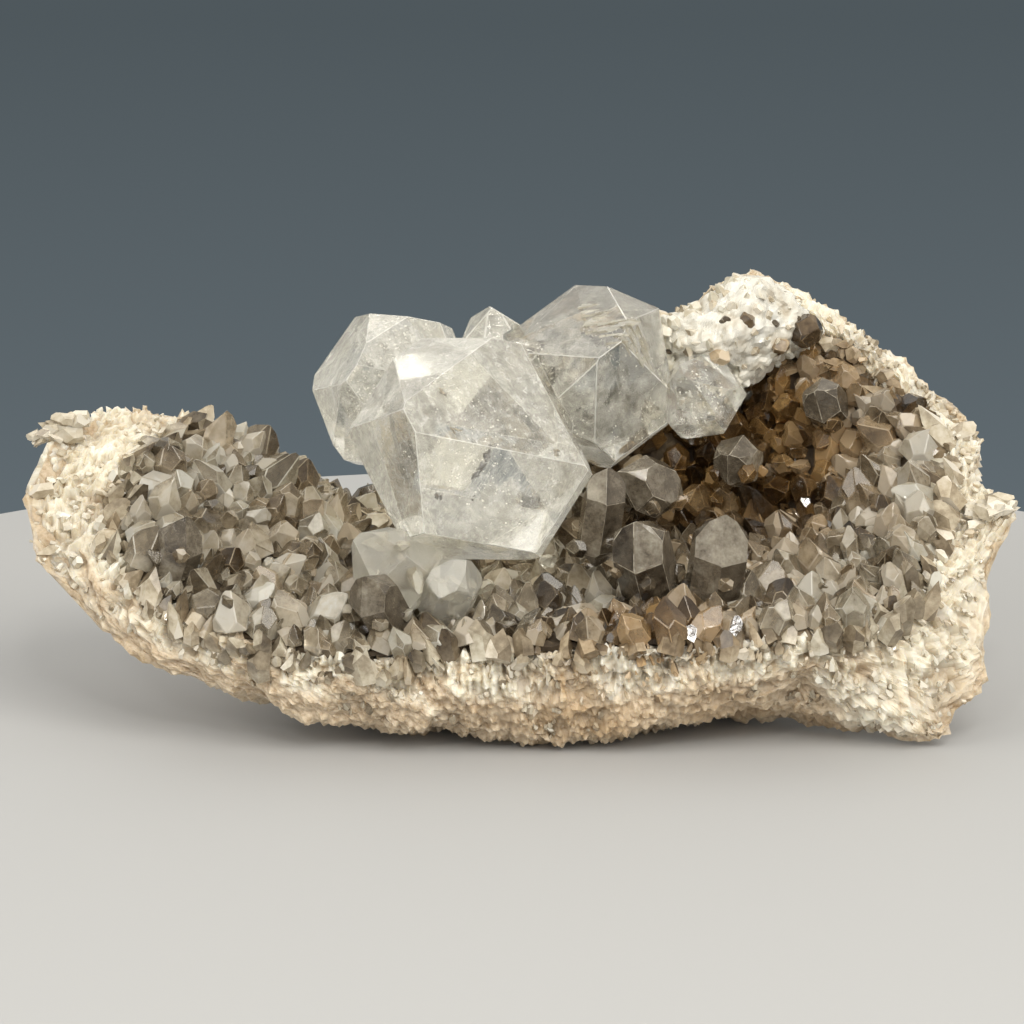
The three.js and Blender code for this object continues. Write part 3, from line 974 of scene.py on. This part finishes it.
# Each crystal: how clear, how rough, how much film, and the compass and tilt of its long axis.
for name, clearness, roughness, film_share, compass, tilt in (
    ("front_crystal", 0.90, 0.01, 0.36, -104, 25),
    ("left_crystal", 0.82, 0.03, 0.32, -112, 20),
    ("middle_crystal", 0.84, 0.03, 0.30, -95, 60),
    ("right_crystal", 0.93, 0.01, 0.18, -80, 28),
    ("far_right_crystal", 0.88, 0.04, 0.25, -120, 35),
):
    clear = clear_quartz(name.replace("_", " "), clearness, roughness, film_share, compass, tilt)
    dress_crystal(nodes[name], clear, edge_white, 0.07 * mm)


# Growth steps: low ribs across the upper right faces of the right crystal, where its growth
# stopped and started again, and small clear points at the foot of the front one.

spread = np.random.default_rng(37)
right_tree = whole_tree(nodes["right_crystal"].data)
rib_way = Vector((0.84, 0.0, -0.54))
look_back = Vector((0.0, 0.97, -0.242))
look_reach = 16 * mm
ribs = 8
stretches = 5
seeds = []
for rib in range(ribs):
    start = Vector((4.3 + 0.07 * rib, -4.0, 26.6 - 0.30 * rib)) * mm
    for stretch in range(stretches):
        over = start + rib_way * (stretch * 1.0 + spread.uniform(-0.3, 0.3)) * mm
        hit, normal = right_tree.ray_cast(over, look_back, look_reach)[:2]
        if hit is None or normal.z < -0.1:
            continue
        along = (rib_way - normal * rib_way.dot(normal)).normalized()
        width = spread.uniform(0.22, 0.42) * mm
        root = hit - normal * width * 0.22 - along * 0.6 * mm
        seeds.append((root, along, width, spread.uniform(1.0, 1.8) * mm, 0.95, 1.0, 0.0))
for place, axis, width, length in (
    ((-7.4, -8.9, 11.6), (-0.5, -0.6, -0.4), 1.3, 2.0),
    ((-6.4, -9.6, 10.6), (0.1, -0.8, -0.4), 1.2, 1.8),
    ((-8.2, -8.2, 12.2), (-0.8, -0.3, 0.1), 1.0, 1.5),
    ((-5.0, -9.4, 9.8), (0.5, -0.7, -0.2), 1.1, 1.7),
    ((-4.0, -8.6, 9.6), (0.7, -0.6, 0.1), 1.0, 1.6),
    ((-7.0, -9.9, 12.4), (-0.2, -0.9, 0.3), 0.9, 1.2),
    ((-2.6, -7.6, 9.2), (0.6, -0.6, 0.3), 1.0, 1.5),
    ((1.6, -4.6, 10.0), (0.2, -0.8, 0.4), 1.0, 1.4),
):
    seeds.append(seed(place, axis, width, length, 0.9, 1.0, 0.0))
growth_steps = grow("growth_steps", flat_kinds, seeds, spread, 0.6)
hand_over(growth_steps, "clear_quartz", quartz_material("growth step quartz", 0.02, 0.7))


# Veils and flecks: healed cracks of tiny pale flakes, thin fracture sheets and a few black
# specks, sealed inside the clear crystals.

def flake_kind(number):
    """A small ragged flake, one unit across and one high."""
    bpy.ops.object.select_all(action="DESELECT")
    bpy.ops.mesh.primitive_ico_sphere_add(subdivisions=1, radius=0.5)
    flake = bpy.context.object
    bpy.ops.object.mode_set(mode="EDIT")
    bpy.ops.transform.vertex_random(offset=0.16, seed=number)
    bpy.ops.mesh.normals_make_consistent(inside=False)
    bpy.ops.object.mode_set(mode="OBJECT")
    corners = points_of(flake)
    corners[:, 2] -= corners[:, 2].min()
    corners[:, 2] /= corners[:, 2].max()
    sides = [tuple(face.vertices) for face in flake.data.polygons]
    bpy.data.objects.remove(flake)
    return corners, sides, [0.0] * len(sides)


flake_kinds = [flake_kind(number) for number in (3, 5, 8)]
flake_thickness = 0.015 * mm
veil_depth = 0.3 * mm
# Each veil: its middle, the way it faces, its radius in mm, and how many flakes are tried.
veils_in = {
    "front_crystal": (
        ((-3.0, -5.2, 16.2), (0.5, -0.6, 0.6), 3.6, 170),
        ((-6.5, -4.0, 18.2), (0.9, -0.3, -0.3), 3.0, 120),
        ((-1.0, -3.5, 13.4), (-0.3, -0.3, 0.9), 3.2, 130),
        ((-4.5, -4.5, 20.2), (0.2, -0.2, 1.0), 2.4, 90),
    ),
    "left_crystal": (
        ((-9.5, 4.5, 18.5), (0.7, -0.6, 0.2), 3.4, 170),
        ((-7.5, 5.5, 21.0), (0.1, -0.7, 0.7), 3.0, 120),
    ),
    "right_crystal": (
        ((4.0, 2.5, 19.5), (-0.6, -0.7, 0.3), 4.2, 260),
        ((6.5, 3.0, 17.5), (0.7, -0.5, 0.4), 3.4, 220),
        ((2.0, 3.5, 21.5), (0.1, -0.4, 0.9), 3.0, 140),
    ),
    "far_right_crystal": (((11.0, 3.6, 18.6), (-0.3, -0.8, 0.4), 1.6, 80),),
    "middle_crystal": (((-1.5, 6.6, 21.2), (0.2, -0.9, 0.4), 1.3, 50),),
}


def veil(solid, heart, facing, radius, tries, spread):
    """Flakes strewn over a wavy sheet, those that would come out of the solid left off."""
    facing = Vector(facing).normalized()
    across_it = facing.orthogonal().normalized()
    up_it = facing.cross(across_it)
    flakes = []
    for turn in range(tries):
        u, v = spread.normal(0, 0.45, 2) * radius * mm
        bulge = noise.noise(Vector((u, v, 0.01 * radius)) / (1.6 * mm)) * 0.7 * mm
        place = Vector(heart) * mm + across_it * u + up_it * v + facing * bulge
        if height_over(solid, place) > -veil_depth:
            continue
        tilt = (facing + scattered(spread, 0.25)).normalized()
        width = spread.uniform(0.05, 0.20) * mm
        flakes.append((place, tilt, width, flake_thickness, 1.0, 1.0, 0.0))
    return flakes


spread = np.random.default_rng(41)
seeds = []
for crystal, veils in veils_in.items():
    for heart, facing, radius, tries in veils:
        seeds += veil(whole_tree(nodes[crystal].data), heart, facing, radius, tries, spread)


def pale_veil():
    made, tree, shader = material("pale veil", Roughness=0.25)
    patch = grainy(tree, own_place(tree), 0.6 * mm)
    drive(tree, shader, Base_Color=ramp(tree, patch, (0.3, (0.62, 0.60, 0.55)), (0.7, (0.90, 0.89, 0.86))))
    return made


inner_veils = grow("inner_veils", flake_kinds, seeds, spread, 0.5)
hand_over(inner_veils, "clear_quartz", pale_veil())


def fracture(name, crystal, heart, facing, radius, sheet_material):
    """A thin wavy sheet inside a crystal, trimmed to stay below its faces."""
    bpy.ops.object.select_all(action="DESELECT")
    bpy.ops.mesh.primitive_grid_add(x_subdivisions=22, y_subdivisions=22, size=2)
    sheet = bpy.context.object
    sheet.name = name
    turn = Vector(facing).to_track_quat("Z", "Y").to_matrix()
    solid = whole_tree(nodes[crystal].data)
    placed = points_of(sheet)
    outside = []
    for vertex in sheet.data.vertices:
        flat = vertex.co * radius * mm
        edge = 0.75 + 0.35 * noise.noise(Vector(heart) + vertex.co.normalized() * 1.7)
        wave = noise.noise(Vector(heart) + flat / (1.5 * mm)) * 0.5 * mm
        place = turn @ Vector((flat.x, flat.y, wave)) + Vector(heart) * mm
        outside.append(vertex.co.length > edge or height_over(solid, place) > -0.25 * mm)
        placed[vertex.index] = place
    place_points(sheet, placed)
    select_faces(sheet, [any(outside[corner] for corner in face.vertices) for face in sheet.data.polygons])
    bpy.ops.object.mode_set(mode="EDIT")
    bpy.ops.mesh.select_mode(type="FACE")
    bpy.ops.mesh.delete(type="FACE")
    bpy.ops.object.mode_set(mode="OBJECT")
    thick = sheet.modifiers.new("thickness", "SOLIDIFY")
    thick.thickness = 0.02 * mm
    bpy.ops.object.modifier_apply(modifier=thick.name)
    hand_over(sheet, "clear_quartz", sheet_material)


def fracture_sheet():
    made, tree, shader = material("fracture sheet", Transmission_Weight=0.8, IOR=1.2)
    sheen = grainy(tree, own_place(tree), 0.8 * mm, 4.0, 0.7)
    drive(
        tree, shader,
        Base_Color=ramp(tree, sheen, (0.4, (0.62, 0.61, 0.57)), (0.62, (0.96, 0.95, 0.93))),
        Roughness=ramp(tree, sheen, (0.3, 0.02), (0.7, 0.25)))
    return made


def brown_film():
    made, tree, shader = material("brown film", Transmission_Weight=0.75, IOR=1.3, Roughness=0.1)
    sheen = grainy(tree, own_place(tree), 0.9 * mm, 5.0, 0.75)
    drive(tree, shader, Base_Color=ramp(
        tree, sheen, (0.40, (0.10, 0.07, 0.04)), (0.56, (0.88, 0.85, 0.77))))
    return made


# Each sheet: its middle, the way it faces and its radius in mm.
sheets_in = {
    "right_crystal": (
        ((4.2, 1.6, 20.2), (-0.5, -0.8, 0.3), 2.6),
        ((6.4, 2.4, 18.6), (0.8, -0.5, 0.1), 2.6),
        ((5.0, 3.0, 17.2), (0.2, -0.5, 0.8), 2.8),
        ((3.0, 3.6, 21.8), (-0.2, -0.5, 0.8), 2.2),
        ((6.0, 1.5, 20.6), (0.9, -0.2, 0.4), 1.7),
        ((3.0, 0.4, 19.6), (-0.6, -0.6, -0.4), 1.3),
        ((7.4, 2.2, 19.8), (0.5, -0.8, -0.2), 1.4),
        ((5.2, 0.6, 18.0), (0.3, -0.9, -0.2), 1.5),
    ),
    "left_crystal": (
        ((-9.5, 5.0, 18.6), (0.6, -0.7, 0.3), 2.8),
        ((-8.2, 6.0, 21.0), (-0.1, -0.6, 0.8), 2.2),
    ),
    "front_crystal": (
        ((-6.6, -6.4, 18.8), (0.9, -0.3, 0.2), 2.2),
        ((-1.6, -5.4, 14.2), (0.5, -0.6, 0.6), 2.2),
        ((-4.9, -6.6, 20.3), (0.4, -0.7, 0.5), 1.6),
    ),
    "far_right_crystal": (((11.2, 3.4, 18.2), (0.4, -0.8, 0.3), 1.3),),
}
clear_sheet = fracture_sheet()
sheet_number = 0
for crystal, sheets in sheets_in.items():
    for heart, facing, radius in sheets:
        sheet_number += 1
        fracture(f"fracture_{sheet_number}", crystal, heart, facing, radius, clear_sheet)

brown_sheet = brown_film()
for number, (heart, facing, radius) in enumerate((
    ((4.6, 5.0, 18.6), (-0.3, -0.8, 0.5), 2.6),
    ((6.6, 4.6, 17.4), (0.5, -0.7, 0.5), 2.2),
    ((2.4, 5.0, 20.6), (-0.2, -0.9, 0.3), 1.8),
), 1):
    fracture(f"brown_film_{number}", "right_crystal", heart, facing, radius, brown_sheet)

seeds = []
for place, axis, width, length, light in (
    ((-2.35, -7.25, 17.05), (0.5, -0.1, 0.9), 0.50, 1.1, 0.0),
    ((-2.77, -7.47, 16.60), (0.5, -0.1, 0.9), 0.50, 1.0, 0.0),
    ((-3.19, -7.68, 16.10), (0.6, -0.1, 0.7), 0.34, 0.7, 0.0),
    ((-5.10, -8.72, 15.00), (0.3, -0.1, 0.9), 0.34, 0.65, 0.02),
    ((-3.02, -7.48, 14.88), (0.8, 0.0, 0.3), 0.22, 0.45, 0.05),
    ((0.86, -5.14, 14.12), (0.1, -0.1, 0.9), 0.22, 0.50, 0.05),
    ((1.90, -4.60, 16.90), (0.6, -0.2, 0.5), 0.50, 0.60, 0.55),
    ((-5.10, -6.30, 21.00), (0.9, -0.3, 0.1), 0.45, 0.90, 0.50),
    ((-4.40, -8.10, 19.10), (0.9, -0.3, 0.1), 0.40, 0.90, 0.50),
):
    for splinter in range(3):
        root = Vector(place) * mm + scattered(spread, 0.12) * mm
        lean = (Vector(axis) + scattered(spread, 0.3)).normalized()
        thin = width * spread.uniform(0.5, 1.0) * mm
        long = length * spread.uniform(0.4, 1.0) * mm
        seeds.append((root, lean, thin, long, light, light, 0.0))
specks = grow("dark_specks", flake_kinds, seeds, spread, 0.35)
hand_over(specks, "smoky_quartz", quartz_material("dark speck", 0.3, 0.0))


# Milky foot: two pale crystals of the same quartz under the left corner of the front one.
# They grew into each other and are half clear, clouded by tiny bubbles.

def milky_quartz(name):
    made, tree, shader = material(name, Transmission_Weight=0.74, IOR=quartz_ior)
    cloud = grainy(tree, own_place(tree), 1.2 * mm)
    drive(
        tree, shader,
        Base_Color=ramp(tree, cloud, (0.3, (0.80, 0.77, 0.67)), (0.7, (0.96, 0.94, 0.87))),
        Roughness=ramp(tree, cloud, (0.3, 0.14), (0.7, 0.28)))
    return made


for name in ("foot_left_crystal", "foot_right_crystal"):
    dress_crystal(nodes[name], milky_quartz(name.replace("_", " ")), edge_white, 0.05 * mm)


# Larger smoky crystals: eight brown-grey quartz crystals that stand a little above the druse.
# They are half clear with etched faces and pale edges, partly worn and partly a painted highlight, and grew
# straight from the bed.

def large_smoky_quartz():
    made, tree, shader = material("large smoky quartz", Transmission_Weight=0.5, IOR=quartz_ior)
    cloud = grainy(tree, own_place(tree), 1.1 * mm, 5.0, 0.75)
    # Painted light: each facet lighter or darker by the way it faces.
    facet = spread_out(tree, facet_light(tree), 0.3, 0.7, -0.3, 0.3)
    drive(
        tree, shader,
        Base_Color=ramp(
            tree, plus(tree, cloud, facet),
            (0.2, (0.05, 0.037, 0.024)), (0.5, (0.23, 0.19, 0.14)), (0.85, (0.66, 0.60, 0.48))),
        Roughness=ramp(tree, cloud, (0.4, 0.01), (0.8, 0.10)),
        Normal=bumpy(tree, cloud, 0.4, 0.08 * mm))
    return made


def smoky_edge():
    # Pale bevelled edges: partly wear, partly a painted highlight.
    made, tree, shader = material("smoky edge", Roughness=0.15, Transmission_Weight=0.4, IOR=quartz_ior)
    chips = grainy(tree, own_place(tree), 0.6 * mm, 4.0, 0.7)
    drive(tree, shader, Base_Color=ramp(
        tree, chips, (0.4, (0.16, 0.125, 0.085)), (0.62, (0.70, 0.64, 0.52))))
    return made


smoky_faces = large_smoky_quartz()
smoky_edges = smoky_edge()
for name in nodes:
    if name.startswith("smoky_") and name.endswith("_crystal"):
        dress_crystal(nodes[name], smoky_faces, smoky_edges, 0.035 * mm)


# Floor, backdrop, lights and camera: a pale round floor against a slate-grey board, in a pale
# surround with broad soft lamps, seen from the photograph's side 14 degrees above level.

floor_radius = 62 * mm
floor_depth = 4 * mm
bpy.ops.object.select_all(action="DESELECT")
bpy.ops.mesh.primitive_cylinder_add(
    vertices=128, radius=floor_radius, depth=floor_depth, location=(0, 0, -floor_depth / 2))
floor = bpy.context.object
floor.name = "floor"
bpy.ops.object.transform_apply(location=True)
floor.data.materials.append(material("pale floor", Base_Color=(0.42, 0.42, 0.42, 1), Roughness=0.6)[0])

bpy.ops.object.select_all(action="DESELECT")
bpy.ops.mesh.primitive_plane_add(size=1, location=(0, 300 * mm, -70 * mm), rotation=(math.radians(90), 0, 0))
board = bpy.context.object
board.name = "backdrop"
board.scale = (300 * mm, 260 * mm, 1)
bpy.ops.object.transform_apply(location=True, rotation=True, scale=True)


def slate():
    """A board that glows with painted light in place of being lit, darker towards the top."""
    made, tree, shader = material(
        "slate backdrop", Emission_Strength=1.0, Base_Color=(0.0, 0.0, 0.0, 1),
        Specular_IOR_Level=0.0, Roughness=1.0)
    height = node(tree, "ShaderNodeSeparateXYZ", {"Vector": own_place(tree)})
    rise = spread_out(tree, height.outputs["Z"], -140 * mm, 10 * mm, 0.0, 1.0)
    drive(tree, shader, Emission_Color=ramp(
        tree, rise, (0.0, (0.165, 0.20, 0.222)), (1.0, (0.078, 0.097, 0.108))))
    return made


board.data.materials.append(slate())

world = bpy.data.worlds.new("pale surround")
bpy.context.scene.world = world
world.use_nodes = True
tree = world.node_tree
sky = node(tree, "ShaderNodeTexCoord").outputs["Generated"]
height = node(tree, "ShaderNodeSeparateXYZ", {"Vector": sky})
rise = spread_out(tree, height.outputs["Z"], -1.0, 1.0, 0.0, 1.0)
surround = ramp(
    tree, rise, (0.0, (0.12, 0.115, 0.10)), (0.46, (0.28, 0.275, 0.26)),
    (0.62, (0.66, 0.645, 0.60)), (1.0, (0.76, 0.745, 0.70)))
tree.links.new(surround, tree.nodes["Background"].inputs["Color"])
tree.nodes["Background"].inputs["Strength"].default_value = 1.0

aim = Vector((0, 0, 12)) * mm
# Each lamp: its place and width in mm, its power in watts, and its colour.
for name, place, size, power, colour in (
    ("key", (130, -190, 240), 260, 0.79, (1.0, 0.97, 0.90)),
    ("fill", (-240, -140, 140), 190, 0.26, (1.0, 0.98, 0.93)),
    ("back", (-60, 170, 250), 270, 0.12, (1.0, 0.98, 0.94)),
    ("spark_left", (-80, -250, 180), 26, 0.08, (1.0, 0.98, 0.94)),
    ("spark_right", (90, -280, 60), 26, 0.06, (1.0, 0.98, 0.94)),
    ("spark_top", (10, -240, 230), 26, 0.08, (1.0, 0.98, 0.94)),
):
    lamp = bpy.data.lights.new(name, "AREA")
    lamp.shape = "DISK"
    lamp.size = size * mm
    lamp.energy = power
    lamp.color = colour
    holder = bpy.data.objects.new(name, lamp)
    bpy.context.scene.collection.objects.link(holder)
    holder.location = Vector(place) * mm
    holder.rotation_euler = (aim - holder.location).to_track_quat("-Z", "Y").to_euler()

look_at = Vector((-0.5, -2.6, 12.7)) * mm
look_from = 221.6
rise_angle = math.radians(14)
camera_data = bpy.data.cameras.new("camera")
camera_data.lens = 126
camera_data.sensor_width = 36
camera_data.clip_start = 0.01
camera = bpy.data.objects.new("camera", camera_data)
bpy.context.scene.collection.objects.link(camera)
camera.location = look_at + Vector((0, -math.cos(rise_angle), math.sin(rise_angle))) * look_from * mm
camera.rotation_euler = (look_at - camera.location).to_track_quat("-Z", "Y").to_euler()
bpy.context.scene.camera = camera
bpy.context.scene.view_settings.view_transform = "Standard"
